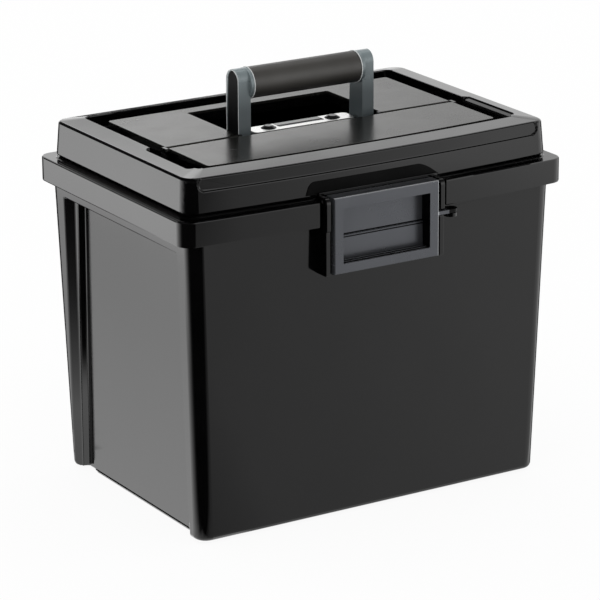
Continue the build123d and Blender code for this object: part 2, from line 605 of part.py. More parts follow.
# ---------------------------------------------------------------- handle
def arm_outline(shrink, x0, x1):
    """Side outline of a handle arm, tapering to the head, between two X planes."""
    foot = rod_x(x0, x1, PIVOT_Y, PIVOT_Z, ARM_FOOT_R - shrink)
    head = rod_x(x0, x1, HEAD_Y, HEAD_Z, HEAD_R - shrink)
    a = ARM_FOOT_R - shrink
    b = HEAD_R - shrink
    side = Polyline(
        (PIVOT_Y - a, PIVOT_Z),
        (HEAD_Y - b, HEAD_Z),
        (HEAD_Y + b, HEAD_Z),
        (PIVOT_Y + a, PIVOT_Z),
        close=True,
    )
    web = extrude(Plane.YZ * make_face(side), x1 - x0)
    return foot + head + Pos(x0, 0, 0) * web


def make_arm():
    """Right handle arm with collar, core socket, screw seat and inlay pocket."""
    arm = arm_outline(0.0, ARM_X0, ARM_X1)
    arm += rod_x(COLLAR_X, ARM_X0 + 1, GRIP_Y, GRIP_Z, GRIP_R)
    arm -= arm_outline(INLAY_RIM, ARM_X1 - INLAY_D, ARM_X1 + 1)
    arm -= rod_x(COLLAR_X - 1, CORE_X, GRIP_Y, GRIP_Z, CORE_R)
    arm -= rod_x(CORE_X - 1, ARM_X1, GRIP_Y, GRIP_Z, SCREW_R)
    arm -= rod_x(screw_seat(), ARM_X1, GRIP_Y, GRIP_Z, SCREW_HEAD_R + 0.2)
    arm -= rod_x(ARM_X0 - 1, PIVOT_OUT, PIVOT_Y, PIVOT_Z, PIVOT_R)
    return arm


def make_inlay():
    """Thin dark inlay in the outer face of the right arm."""
    return arm_outline(INLAY_RIM + INLAY_FIT, ARM_X1 - INLAY_D, ARM_X1 - 0.3)


def screw_seat():
    """X of the face that the head of the right arm's screw presses on."""
    return ARM_X1 - INLAY_D - SCREW_HEAD_H - 0.4


def make_arm_screw():
    """Screw that holds the right arm to the grip core."""
    seat = screw_seat()
    head = rod_x(seat, seat + SCREW_HEAD_H, GRIP_Y, GRIP_Z, SCREW_HEAD_R)
    return head + rod_x(CORE_X - SCREW_L, seat, GRIP_Y, GRIP_Z, SCREW_R)


def make_pivot_pin(side):
    ends = sorted((side * PIVOT_IN, side * PIVOT_OUT))
    return rod_x(ends[0], ends[1], PIVOT_Y, PIVOT_Z, PIVOT_R)


def make_grip_core():
    core = rod_x(-CORE_X, CORE_X, GRIP_Y, GRIP_Z, CORE_R)
    core -= rod_x(CORE_X - SCREW_L, CORE_X + 1, GRIP_Y, GRIP_Z, SCREW_R)
    return core - rod_x(-CORE_X - 1, -CORE_X + SCREW_L, GRIP_Y, GRIP_Z, SCREW_R)


def make_grip_sleeve():
    sleeve = rod_x(-COLLAR_X, COLLAR_X, GRIP_Y, GRIP_Z, GRIP_R)
    return sleeve - rod_x(-CORE_X, CORE_X, GRIP_Y, GRIP_Z, CORE_R)


# ---------------------------------------------------------------- pivot cover
def make_cover_strip():
    """Steel strip over the pivot pins, with a pressed groove between the screws."""
    plate = Pos(0, PIVOT_Y, BOSS_Z) * extrude(RectangleRounded(2 * COVER_X, 2 * COVER_Y, 4.0), COVER_T)
    groove = COVER_SCREW_X - COVER_HEAD_R - 2.3
    top = BOSS_Z + COVER_T
    plate -= block(-groove, groove, PIVOT_Y - 2.5, PIVOT_Y + 2.5, top - 0.6, top + 1)
    for x in (-COVER_SCREW_X, COVER_SCREW_X):
        plate -= post_z(x, PIVOT_Y, BOSS_Z - 1, BOSS_Z + 3, COVER_SCREW_R)
    return plate


def make_cover_screw(x):
    """Low-headed screw that holds the strip."""
    base = BOSS_Z + COVER_T
    height = COVER_HEAD_H
    head = Pos(x, PIVOT_Y, base + height / 2) * Cone(COVER_HEAD_R, COVER_HEAD_R / 2, height)
    return head + post_z(x, PIVOT_Y, BOSS_Z - COVER_SCREW_L, base, COVER_SCREW_R)


# ---------------------------------------------------------------- latch
def make_latch():
    outer = block(-LATCH_X, LATCH_X, LATCH_YF, LATCH_YB, LATCH_Z0, LATCH_Z1)
    front = outer.faces().sort_by(Axis.Y)[0].edges()
    outer = fillet(front, 1.2)
    t = LATCH_T
    inside = block(-LATCH_X + t, LATCH_X - t, LATCH_YF + t, LATCH_YB + 1, LATCH_Z0 + t, LATCH_Z1 - 1.8)
    pocket_wall = block(-POCKET_X - t, POCKET_X + t, LATCH_YF + t, LATCH_YB, POCKET_Z0 - t, POCKET_Z1 + t)
    pocket = block(-POCKET_X, POCKET_X, LATCH_YF - 1, POCKET_Y, POCKET_Z0, POCKET_Z1)
    latch = outer - inside + pocket_wall - pocket
    latch += block(-POCKET_X, POCKET_X, POCKET_Y - 0.8, POCKET_Y + 0.5, POCKET_Z0, SHELF_Z)
    latch -= block(-LATCH_X - 1, LATCH_X + 1, LATCH_TOP_Y, LATCH_YB + 1, POCKET_Z1 + t, LATCH_Z1 + 1)
    boss = rod_x(LATCH_X - LATCH_BOSS_L, LATCH_X, LATCH_PIN_Y, LATCH_PIN_Z, LATCH_BOSS_R)
    latch += boss
    latch += mirror_x(boss)
    tab = block(LATCH_X - 1, EYE_X, EYE_Y - EYE_RING_R, EYE_Y + EYE_RING_R, TAB_Z0, TAB_Z1)
    tab += post_z(EYE_X, EYE_Y, TAB_Z0, TAB_Z1, EYE_RING_R)
    tab -= post_z(EYE_X, EYE_Y, TAB_Z0 - 1, TAB_Z1 + 1, EYE_R)
    latch += tab
    return latch - rod_x(-LATCH_X - 1, LATCH_X + 1, LATCH_PIN_Y, LATCH_PIN_Z, LATCH_PIN_R + RUN_FIT)


def make_latch_pin():
    return rod_x(-CHEEK_X1, CHEEK_X1, LATCH_PIN_Y, LATCH_PIN_Z, LATCH_PIN_R)


# ---------------------------------------------------------------- export
def export(name, shape):
    shape.label = name
    export_step(shape, "parts/" + name + ".step")


right_arm = make_arm()
right_inlay = make_inlay()
right_screw = make_arm_screw()

export("tub", make_tub())
export("lid_hinge_pin_left", make_hinge_pin(-1))
export("lid_hinge_pin_right", make_hinge_pin(1))
export("lid_shell", make_lid())
export("front_flap", make_front_flap())
export("front_flap_rod", make_front_rod())
export("rear_flap", make_rear_flap())
export("rear_flap_rod_left", make_rear_rod(-1))
export("rear_flap_rod_right", make_rear_rod(1))
export("handle_arm_left", mirror_x(right_arm))
export("handle_arm_right", right_arm)
export("arm_inlay_left", mirror_x(right_inlay))
export("arm_inlay_right", right_inlay)
export("arm_screws", Compound([right_screw, mirror_x(right_screw)]))
export("pivot_pin_left", make_pivot_pin(-1))
export("pivot_pin_right", make_pivot_pin(1))
export("grip_core", make_grip_core())
export("grip_sleeve", make_grip_sleeve())
export("pivot_cover_strip", make_cover_strip())
export("cover_strip_screws", Compound([make_cover_screw(-COVER_SCREW_X), make_cover_screw(COVER_SCREW_X)]))
export("latch_cover", make_latch())
export("latch_pin", make_latch_pin())
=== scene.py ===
import json
import math

import bmesh
import bpy
from mathutils import Matrix, Vector
from mathutils.bvhtree import BVHTree


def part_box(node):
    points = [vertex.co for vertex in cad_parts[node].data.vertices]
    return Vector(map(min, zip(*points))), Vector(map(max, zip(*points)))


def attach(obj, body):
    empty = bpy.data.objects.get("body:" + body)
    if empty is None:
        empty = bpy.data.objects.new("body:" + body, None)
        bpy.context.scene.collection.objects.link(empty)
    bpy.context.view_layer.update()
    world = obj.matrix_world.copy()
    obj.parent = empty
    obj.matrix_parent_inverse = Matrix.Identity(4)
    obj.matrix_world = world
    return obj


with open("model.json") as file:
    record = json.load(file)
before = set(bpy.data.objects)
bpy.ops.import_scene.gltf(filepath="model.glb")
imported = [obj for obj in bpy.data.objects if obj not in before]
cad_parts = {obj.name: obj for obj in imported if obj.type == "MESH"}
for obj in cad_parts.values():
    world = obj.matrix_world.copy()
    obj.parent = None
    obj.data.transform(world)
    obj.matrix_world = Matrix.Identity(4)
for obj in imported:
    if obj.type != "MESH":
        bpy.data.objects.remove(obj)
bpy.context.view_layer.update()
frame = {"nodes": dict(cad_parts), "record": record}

NODES = frame["nodes"]

# ---------------------------------------------------------------- camera
CAMERA_AT = (-1.4388, -2.3568, 1.0391)
CAMERA_YAW, CAMERA_PITCH, CAMERA_ROLL = 0.54825, -0.31065, -0.00697
SENSOR = 36.0
FOCAL_PX, PICTURE_PX = 3394.22, 600.0
SHIFT_PX = (1.06, 0.38)
CLIP_END = 30.0


def make_camera():
    """Camera at the viewing angle of the product picture."""
    cy, sy = math.cos(CAMERA_YAW), math.sin(CAMERA_YAW)
    cp, sp = math.cos(CAMERA_PITCH), math.sin(CAMERA_PITCH)
    cr, sr = math.cos(CAMERA_ROLL), math.sin(CAMERA_ROLL)
    ahead = Vector((sy * cp, cy * cp, sp))
    level = Vector((cy, -sy, 0.0))
    above = level.cross(ahead)
    right = level * cr + above * sr
    up = above * cr - level * sr
    data = bpy.data.cameras.new("camera")
    data.sensor_width = SENSOR
    data.lens = FOCAL_PX / PICTURE_PX * SENSOR
    data.shift_x = -SHIFT_PX[0] / PICTURE_PX
    data.shift_y = -SHIFT_PX[1] / PICTURE_PX
    data.clip_end = CLIP_END
    camera = bpy.data.objects.new("camera", data)
    turn = Matrix((right, up, -ahead)).transposed().to_4x4()
    camera.matrix_world = Matrix.Translation(CAMERA_AT) @ turn
    bpy.context.scene.collection.objects.link(camera)
    bpy.context.scene.camera = camera


# ---------------------------------------------------------------- materials
WARM = (1.0, 0.975, 0.92, 1.0)      # sheen of the satin flaps
TAB_X, FAR_X = 0.0610, 0.1          # the padlock tab lies between these
POCKET_X = 0.0420                   # half width of the finger recess in the latch
POCKET_Z0 = 0.2268                  # its lower wall
LATCH_FRONT = -0.1360
LATCH_HALF, LATCH_TOP = 0.0507, 0.2831
WALL_SLACK, FOOT_SLACK, FRONT_SLACK = 0.0003, 0.0004, 0.0002
AHEAD_Y = -0.2                      # clear of the front of the latch
EDGE_DEPTH, SIDE_EDGE, TOP_EDGE = 0.0008, 0.0009, 0.0006      # reach of the painted highlights on the latch's edges
# tones painted onto the latch: shade on the tab and recess wall, a highlight on the recess foot, highlights
# on the front edges
PAINTED_SHADE_TONE, FOOT_HIGHLIGHT_TONE, EDGE_HIGHLIGHT_TONE = (0.002, 0.002, 0.002), (0.24, 0.25, 0.27), (0.42, 0.43, 0.44)
BAND_X, BAND_Y0, BAND_Y1 = 0.0225, -0.0035, 0.0075            # darker band on the steel strip
BAND_TONE = (0.12, 0.12, 0.12)
ARM_FADE, ARM_TOP_LIGHT = (0.330, 0.364), (0.21, 0.25, 0.26)       # heights, and tone of the painted light on the arm tops
# heights of the painted shade under the grip, and its tone
GRIP_FADE, GRIP_UNDER_SHADE = (0.338, 0.350), (0.010, 0.009, 0.009)
NOISE_LOW, NOISE_HIGH = 0.3, 0.7         # the part of a noise's range that is used
TINT_LOW, TINT_HIGH = 0.35, 0.65
GRAIN_DEPTH = 0.00005
DRIFT_SCALE, POLISH_SCALE, BRUSH_SCALE = 14.0, 35.0, 60.0
BRUSHING = (0.05, 1.0, 1.0)
BLACK = ((0.0010, 0.0010, 0.0011), (0.0022, 0.0021, 0.0022))  # darkest and lightest moulded black
BODY_LOOK = (*BLACK, (0.06, 0.11), 900.0, 0.05)
# name, darkest and lightest tone, roughness from and to, grain scale, grain height
ARM_LOOK = ("arm_grey", (0.088, 0.105, 0.111), (0.102, 0.120, 0.127), (0.26, 0.32), 1200.0, 0.1)
GRIP_LOOK = ("grip_black", (0.040, 0.037, 0.033), (0.058, 0.055, 0.050), (0.36, 0.46), 90.0, 0.5)
LATCH_LOOK = ("latch_grey", (0.096, 0.100, 0.110), (0.112, 0.116, 0.127), (0.26, 0.32), 1200.0, 0.1)
FLAP_LOOK = ("flap_satin", (0.006, 0.006, 0.005), (0.009, 0.009, 0.008), (0.22, 0.28), 1400.0, 0.15)
INLAY_LOOK = ("inlay_black", (0.004, 0.004, 0.0045), (0.006, 0.006, 0.0065), (0.42, 0.52), 900.0, 0.05)
CORE_LOOK = ("core_black", (0.02, 0.02, 0.02), (0.03, 0.03, 0.03), (0.4, 0.5), 1200.0, 0.1)
# near-black material for painted shade and painted reflection
PAINTED_DARK_LOOK = ("painted_dark_black", (0.0008, 0.0008, 0.0008), (0.0014, 0.0014, 0.0014), (0.5, 0.65), 900.0, 0.05)
# pale material for the painted highlight beads on the handle
HIGHLIGHT_LOOK = ("painted_highlight_grey", (0.62, 0.64, 0.64), (0.70, 0.72, 0.72), (0.2, 0.28), 1200.0, 0.05)
SCREW_LOOK = ("screw_black", (0.01, 0.01, 0.01), (0.016, 0.016, 0.016), (0.2, 0.3), 1200.0, 0.1)
STEEL_LOOK = ("steel", (0.62, 0.62, 0.61), (0.74, 0.74, 0.73), (0.2, 0.34), BRUSHING)


def new_material(name):
    """Material with one shader: returns it with its tree and the shader."""
    material = bpy.data.materials.new(name)
    material.use_nodes = True
    tree = material.node_tree
    tree.nodes.clear()
    out = tree.nodes.new("ShaderNodeOutputMaterial")
    shader = tree.nodes.new("ShaderNodeBsdfPrincipled")
    tree.links.new(shader.outputs[0], out.inputs[0])
    return material, tree, shader


def noise(tree, coords, scale, detail=3.0):
    """Noise of a given scale and number of layers."""
    node = tree.nodes.new("ShaderNodeTexNoise")
    node.inputs["Scale"].default_value = scale
    node.inputs["Detail"].default_value = detail
    tree.links.new(coords, node.inputs["Vector"])
    return node.outputs["Fac"]


def spread(tree, value, low, high):
    """Spreads a noise over a range of levels."""
    node = tree.nodes.new("ShaderNodeMapRange")
    node.inputs["From Min"].default_value = NOISE_LOW
    node.inputs["From Max"].default_value = NOISE_HIGH
    node.inputs["To Min"].default_value = low
    node.inputs["To Max"].default_value = high
    tree.links.new(value, node.inputs["Value"])
    return node.outputs["Result"]


def tint(tree, value, dark, light):
    """Spreads a noise over two tones."""
    ramp = tree.nodes.new("ShaderNodeValToRGB")
    ramp.color_ramp.elements[0].position = TINT_LOW
    ramp.color_ramp.elements[1].position = TINT_HIGH
    ramp.color_ramp.elements[0].color = (*dark, 1)
    ramp.color_ramp.elements[1].color = (*light, 1)
    tree.links.new(value, ramp.inputs[0])
    return ramp.outputs["Color"]


def plastic(name, dark, light, rough, grain, height, metallic=0.0, gloss=0.5, warm=False):
    """Moulded plastic: faint colour drift, uneven polish and a fine moulded grain."""
    material, tree, shader = new_material(name)
    shader.inputs["Metallic"].default_value = metallic
    shader.inputs["Specular IOR Level"].default_value = gloss
    if warm:
        shader.inputs["Specular Tint"].default_value = WARM
    coords = tree.nodes.new("ShaderNodeTexCoord").outputs["Object"]
    tree.links.new(tint(tree, noise(tree, coords, DRIFT_SCALE), dark, light), shader.inputs["Base Color"])
    polish = spread(tree, noise(tree, coords, POLISH_SCALE, 5.0), rough[0], rough[1])
    tree.links.new(polish, shader.inputs["Roughness"])
    bump = tree.nodes.new("ShaderNodeBump")
    bump.inputs["Strength"].default_value = height
    bump.inputs["Distance"].default_value = GRAIN_DEPTH
    tree.links.new(noise(tree, coords, grain, 2.0), bump.inputs["Height"])
    tree.links.new(bump.outputs["Normal"], shader.inputs["Normal"])
    return material


def metal(name, dark, light, rough, stretch):
    """Drawn steel with fine lengthwise brushing."""
    material, tree, shader = new_material(name)
    shader.inputs["Metallic"].default_value = 1.0
    source = tree.nodes.new("ShaderNodeTexCoord")
    scale = tree.nodes.new("ShaderNodeMapping")
    scale.inputs["Scale"].default_value = stretch
    tree.links.new(source.outputs["Object"], scale.inputs["Vector"])
    lines = noise(tree, scale.outputs["Vector"], BRUSH_SCALE, 4.0)
    tree.links.new(tint(tree, lines, dark, light), shader.inputs["Base Color"])
    tree.links.new(spread(tree, lines, rough[0], rough[1]), shader.inputs["Roughness"])
    return material


def maths(tree, operation, first, second):
    """Math node on two inputs, each a socket or a number."""
    node = tree.nodes.new("ShaderNodeMath")
    node.operation = operation
    for place, value in zip(node.inputs, (first, second)):
        if isinstance(value, float):
            place.default_value = value
        else:
            tree.links.new(value, place)
    return node.outputs[0]


def times(tree, first, second):
    return maths(tree, "MULTIPLY", first, second)


def either(tree, first, second):
    return maths(tree, "MAXIMUM", first, second)


def within(tree, value, low, high):
    """1 where a coordinate lies between two positions, else 0."""
    return times(tree, maths(tree, "GREATER_THAN", value, low), maths(tree, "LESS_THAN", value, high))


def fade(tree, value, low, high):
    """0 below one position and 1 above another, even between them."""
    node = tree.nodes.new("ShaderNodeMapRange")
    node.inputs["From Min"].default_value = low
    node.inputs["From Max"].default_value = high
    tree.links.new(value, node.inputs["Value"])
    return node.outputs["Result"]


def parts_of(material):
    """Node tree and main shader of a material."""
    tree = material.node_tree
    return tree, next(node for node in tree.nodes if node.type == "BSDF_PRINCIPLED")


def recolour(tree, shader, share, colour):
    """Mixes a second colour into the base colour where share is 1."""
    old = shader.inputs["Base Color"].links[0].from_socket
    mix = tree.nodes.new("ShaderNodeMix")
    mix.data_type = "RGBA"
    tree.links.new(share, mix.inputs["Factor"])
    tree.links.new(old, mix.inputs[6])
    mix.inputs[7].default_value = (*colour, 1)
    tree.links.new(mix.outputs[2], shader.inputs["Base Color"])


def position(tree):
    """X, Y and Z of a point on the object, in metres."""
    source = tree.nodes.new("ShaderNodeTexCoord")
    split = tree.nodes.new("ShaderNodeSeparateXYZ")
    tree.links.new(source.outputs["Object"], split.inputs[0])
    return split.outputs


def latch_material():
    """Grey latch plastic, with painted shade on the tab and the right recess wall, a painted highlight on
    the recess foot, and painted highlights on the right and top edges.
    """
    material = plastic(*LATCH_LOOK, metallic=0.75)
    tree, shader = parts_of(material)
    x, y, z = position(tree)
    inside = within(tree, y, LATCH_FRONT + FRONT_SLACK, 0.0)
    # painted shade: the padlock tab and the right wall of the recess are coloured near black
    shaded_tab = within(tree, x, TAB_X, FAR_X)
    shaded_wall = times(tree, within(tree, x, POCKET_X - WALL_SLACK, POCKET_X + WALL_SLACK), inside)
    recolour(tree, shader, either(tree, shaded_tab, shaded_wall), PAINTED_SHADE_TONE)
    # painted highlight: a narrow paler band along the lower wall of the recess
    lit_foot = times(tree, within(tree, z, POCKET_Z0 - FOOT_SLACK, POCKET_Z0 + FOOT_SLACK), inside)
    recolour(tree, shader, lit_foot, FOOT_HIGHLIGHT_TONE)
    # painted highlight: pale colour along the right and top front edges
    face = within(tree, y, AHEAD_Y, LATCH_FRONT + EDGE_DEPTH)
    right_highlight = within(tree, x, LATCH_HALF - SIDE_EDGE, LATCH_HALF + WALL_SLACK)
    top_highlight = within(tree, z, LATCH_TOP - TOP_EDGE, LATCH_TOP + FRONT_SLACK)
    recolour(tree, shader, times(tree, face, either(tree, right_highlight, top_highlight)), EDGE_HIGHLIGHT_TONE)
    return material


def strip_steel():
    """Bright steel strip with a darker band of colour between its screws."""
    material = metal(*STEEL_LOOK)
    tree, shader = parts_of(material)
    places = position(tree)
    band = times(tree, within(tree, places[0], -BAND_X, BAND_X), within(tree, places[1], BAND_Y0, BAND_Y1))
    recolour(tree, shader, band, BAND_TONE)
    return material


def arm_grey():
    """Blue-grey plastic of the handle arms, with painted light making them paler towards the top."""
    material = plastic(*ARM_LOOK, metallic=0.15)
    tree, shader = parts_of(material)
    recolour(tree, shader, fade(tree, position(tree)[2], *ARM_FADE), ARM_TOP_LIGHT)
    return material


def grip_black():
    """Soft grip, with painted shade on its underside."""
    material = plastic(*GRIP_LOOK)
    tree, shader = parts_of(material)
    shaded_underside = maths(tree, "SUBTRACT", 1.0, fade(tree, position(tree)[2], *GRIP_FADE))
    recolour(tree, shader, shaded_underside, GRIP_UNDER_SHADE)
    return material


def make_materials():
    return {
        "body": plastic("body_black", *BODY_LOOK),
        "lid": plastic("lid_black", *BODY_LOOK),
        "flaps": plastic(*FLAP_LOOK, gloss=0.42, warm=True),
        "handle_arms": arm_grey(),
        "inlays": plastic(*INLAY_LOOK, gloss=0.06),
        "grip": grip_black(),
        "grip_core": plastic(*CORE_LOOK),
        "latch": latch_material(),
        "steel": strip_steel(),
        # the gap slot carries the painted shade of the groove beads and the painted reflection above the
        # latch
        "gap": plastic(*PAINTED_DARK_LOOK, gloss=0.1),
        # the trim slot carries the pale beads of painted highlight on the handle
        "trim": plastic(*HIGHLIGHT_LOOK),
        "black_screws": plastic(*SCREW_LOOK),
    }


# ---------------------------------------------------------------- nodes of the CAD
LATCH_ZONE = ((-0.080, 0.080), (-0.150, -0.108), (0.200, 0.300))
ZONE_WEIGHT = 0.25      # share of the full edge radius kept inside that zone
LID_INNER = (0.1500, 0.0950)        # within this half size the lid's fine inner edges stay crisp
SHARP = math.radians(32)
SAME_POINT = 1e-6
SAME_PLANE = math.radians(0.6)


def weigh_edges(obj):
    """Marks the sharp edges for rounding: a smaller radius round the latch, none inside the lid."""
    mesh = obj.data
    lid = obj == NODES["lid_shell"]
    normals = {}
    for face in mesh.polygons:
        corners = [tuple(round(c, 6) for c in mesh.vertices[v].co) for v in face.vertices]
        for k, corner in enumerate(corners):
            key = frozenset((corner, corners[k - 1]))
            normals.setdefault(key, []).append(face.normal.copy())
    weights = mesh.attributes.new("bevel_weight_edge", "FLOAT", "EDGE")
    for edge in mesh.edges:
        ends = [mesh.vertices[v].co for v in edge.vertices]
        key = frozenset(tuple(round(c, 6) for c in end) for end in ends)
        sides = normals.get(key, [])
        if len(sides) == 2 and sides[0].angle(sides[1], 0.0) > SHARP:
            middle = obj.matrix_world @ ((ends[0] + ends[1]) / 2)
            inside = all(low < value < high for value, (low, high) in zip(middle, LATCH_ZONE))
            crisp = lid and abs(middle.x) < LID_INNER[0] and abs(middle.y) < LID_INNER[1]
            weights.data[edge.index].value = 0.0 if crisp else ZONE_WEIGHT if inside else 1.0


def soften(obj, width, segments=2, clamp=True):
    """Rounds the sharp edges of a CAD node.

    Known fault: on tub and lid_shell, merging flat faces before the bevel lays false faces over openings.
    """
    if not clamp:
        weigh_edges(obj)
    weld = obj.modifiers.new("weld", "WELD")
    weld.merge_threshold = SAME_POINT
    flat = obj.modifiers.new("flat", "DECIMATE")
    flat.decimate_type = "DISSOLVE"
    flat.angle_limit = SAME_PLANE
    bevel = obj.modifiers.new("bevel", "BEVEL")
    bevel.width = width
    bevel.segments = segments
    bevel.limit_method = "ANGLE" if clamp else "WEIGHT"
    bevel.angle_limit = SHARP
    bevel.use_clamp_overlap = clamp
    bevel.harden_normals = True
    bevel.miter_outer = "MITER_ARC"
    normals = obj.modifiers.new("normals", "WEIGHTED_NORMAL")
    normals.keep_sharp = True


EDGE_R = {"tub": 0.0011, "lid_shell": 0.0011}       # rounded by weight and not clamped
FINE_R = 0.0005                                     # every other node, by angle and clamped
UNROUNDED = ("latch_cover",)                        # shaded face by face


def dress_nodes(materials):
    """Gives each CAD node its material and its rounded edges."""
    slots = {row["node"]: row["material_slot"] for row in frame["record"]["subparts"]}
    for name, obj in NODES.items():
        obj.data.materials.clear()
        obj.data.materials.append(materials[slots[name]])
        if name in UNROUNDED:
            for polygon in obj.data.polygons:
                polygon.use_smooth = False
        else:
            soften(obj, EDGE_R.get(name, FINE_R), clamp=name not in EDGE_R)


# ---------------------------------------------------------------- added pieces
def add_piece(name, data, material, body):
    """Puts a mesh or curve in the scene, on its body and in its material slot."""
    data.materials.append(material)
    obj = bpy.data.objects.new(name, data)
    bpy.context.scene.collection.objects.link(obj)
    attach(obj, body)
    return obj


def bead(name, path, radius, material, body, closed=False):
    """Thin round bead along a path."""
    curve = bpy.data.curves.new(name, "CURVE")
    curve.dimensions = "3D"
    curve.bevel_depth = radius
    curve.bevel_resolution = 2
    spline = curve.splines.new("POLY")
    spline.points.add(len(path) - 1)
    for point, place in zip(spline.points, path):
        point.co = (*place, 1)
    spline.use_cyclic_u = closed
    curve.use_fill_caps = not closed
    add_piece(name, curve, material, body)


def arc(centre, radius, start, end, steps):
    """Points of an arc in the Y-Z plane, angles in degrees from +Y towards +Z."""
    points = []
    for k in range(steps + 1):
        turn = math.radians(start + (end - start) * k / steps)
        points.append((centre[0], centre[1] + radius * math.cos(turn), centre[2] + radius * math.sin(turn)))
    return points


# pale beads of painted highlight round each inlay and at each end of the grip
INLAY_HIGHLIGHT_R, INLAY_HIGHLIGHT_OUT, INLAY_HIGHLIGHT_FOOT, INLAY_HIGHLIGHT_STEPS = 0.0005, 0.00035, 0.004, 24
COLLAR_HIGHLIGHT_R, COLLAR_HIGHLIGHT_OUT, COLLAR_HIGHLIGHT_IN, COLLAR_HIGHLIGHT_END, COLLAR_HIGHLIGHT_STEPS = 0.0004, 0.0002, 0.0003, 354.0, 59


def handle_trim(materials):
    """Pale beads of painted highlight: round the edge of each dark inlay, and a fine ring where the grip
    meets each arm.
    """
    for side, sign in (("left", -1), ("right", 1)):
        low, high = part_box("arm_inlay_" + side)
        face_x = low[0] if sign < 0 else high[0]
        radius = (high[1] - low[1]) / 2 + INLAY_HIGHLIGHT_OUT
        middle_y = (high[1] + low[1]) / 2
        top_z = high[2] + INLAY_HIGHLIGHT_OUT - radius
        path = [(face_x, middle_y - radius, low[2] + INLAY_HIGHLIGHT_FOOT)]
        path += arc((face_x, middle_y, top_z), radius, 180.0, 0.0, INLAY_HIGHLIGHT_STEPS)
        path.append((face_x, middle_y + radius, low[2] + INLAY_HIGHLIGHT_FOOT))
        bead("inlay_highlight_" + side, path, INLAY_HIGHLIGHT_R, materials["trim"], "handle")
        grip_low, grip_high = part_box("grip_sleeve")
        end_x = grip_low[0] if sign < 0 else grip_high[0]
        centre = (end_x + sign * COLLAR_HIGHLIGHT_IN, (grip_low[1] + grip_high[1]) / 2, (grip_low[2] + grip_high[2]) / 2)
        highlight_ring = arc(centre, (grip_high[1] - grip_low[1]) / 2 + COLLAR_HIGHLIGHT_OUT, 0.0, COLLAR_HIGHLIGHT_END, COLLAR_HIGHLIGHT_STEPS)
        bead("collar_highlight_" + side, highlight_ring, COLLAR_HIGHLIGHT_R, materials["trim"], "handle", closed=True)


SHELF_Z = 0.2475                                    # ledge across the finger recess
POCKET_FLOOR, POCKET_REAR = -0.1252, -0.1244        # floor of the recess below and above the ledge
BEAD_GAP = 0.0004                                   # from the end of a bead to the wall


def latch_lines(materials):
    """Ribs across the finger recess of the latch, and black beads that paint the shade in its grooves."""
    half = POCKET_X - BEAD_GAP
    rows = [        # name, y, z, radius, material
        ("rib_shelf", POCKET_FLOOR - 0.0002, SHELF_Z - 0.0004, 0.0005, "latch"),
        # rows in the gap material are black beads of painted shade along the grooves
        ("shade_line_above", POCKET_REAR + 0.0001, SHELF_Z + 0.0008, 0.0006, "gap"),
        ("shade_line_below", POCKET_FLOOR + 0.0003, SHELF_Z - 0.0018, 0.0006, "gap"),
        ("rib_low_a", -0.1273, POCKET_Z0 + 0.0002, 0.0005, "latch"),
        ("shade_line_low_a", -0.1260, POCKET_Z0, 0.0006, "gap"),
        ("shade_line_low_b", -0.1292, POCKET_Z0, 0.0009, "gap"),
        ("rib_low_b", -0.1315, POCKET_Z0 + 0.0002, 0.0005, "latch"),
        ("shade_line_low_c", -0.1334, POCKET_Z0, 0.0009, "gap"),
    ]
    for name, y, z, radius, material in rows:
        bead("latch_" + name, [(-half, y, z), (half, y, z)], radius, materials[material], "latch")


# dark pad of painted reflection of the latch, lying on the lid's skirt
REFLECTION_Z0, REFLECTION_Z1, REFLECTION_R = 0.2842, 0.2950, 0.0050
REFLECTION_LEFT, REFLECTION_RIGHT = (-0.0680, -0.0640), (0.0600, 0.0450)      # ends of the pad at foot and top
REFLECTION_T, REFLECTION_DEPTH = 0.0006, 0.0012
REFLECTION_COLUMNS, REFLECTION_ROWS = 60, 12
REFLECTION_FRONT = -0.1228        # the latch swings up just in front of this
PROBE_FROM = -0.3           # rays start here, clear of the box


def surface_finder(name):
    """Returns a function giving the front of a CAD node's skin at an x and z."""
    obj = NODES[name]
    bpy.context.view_layer.update()
    points = [obj.matrix_world @ vertex.co for vertex in obj.data.vertices]
    tree = BVHTree.FromPolygons(points, [tuple(face.vertices) for face in obj.data.polygons])

    def front(x, z):
        hit = tree.ray_cast(Vector((x, PROBE_FROM, z)), Vector((0, 1, 0)))[0]
        return hit.y
    return front


def latch_reflection_pad(materials):
    """Painted reflection of the latch: a dark pad on the skirt above it, with rounded upper corners."""
    front = surface_finder("lid_shell")
    mesh = bpy.data.meshes.new("latch_reflection_pad")
    bm = bmesh.new()
    verts = []
    for row in range(REFLECTION_ROWS + 1):
        share = math.sin(math.radians(90.0 * row / REFLECTION_ROWS))
        z = REFLECTION_Z0 + (REFLECTION_Z1 - REFLECTION_Z0) * share
        past = max(0.0, z - (REFLECTION_Z1 - REFLECTION_R))
        curl = REFLECTION_R - math.sqrt(max(0.0, REFLECTION_R ** 2 - past ** 2))
        left = REFLECTION_LEFT[0] + (REFLECTION_LEFT[1] - REFLECTION_LEFT[0]) * share + curl
        right = REFLECTION_RIGHT[0] + (REFLECTION_RIGHT[1] - REFLECTION_RIGHT[0]) * share - curl
        line = []
        for column in range(REFLECTION_COLUMNS + 1):
            x = left + (right - left) * column / REFLECTION_COLUMNS
            line.append(bm.verts.new((x, max(front(x, z) - REFLECTION_T, REFLECTION_FRONT), z)))
        verts.append(line)
    for below, above in zip(verts, verts[1:]):
        for k in range(REFLECTION_COLUMNS):
            bm.faces.new((below[k], below[k + 1], above[k + 1], above[k]))
    bm.to_mesh(mesh)
    bm.free()
    obj = add_piece("latch_reflection_pad", mesh, materials["gap"], "lid")
    solid = obj.modifiers.new("thickness", "SOLIDIFY")
    solid.thickness = REFLECTION_DEPTH
    solid.offset = -1.0


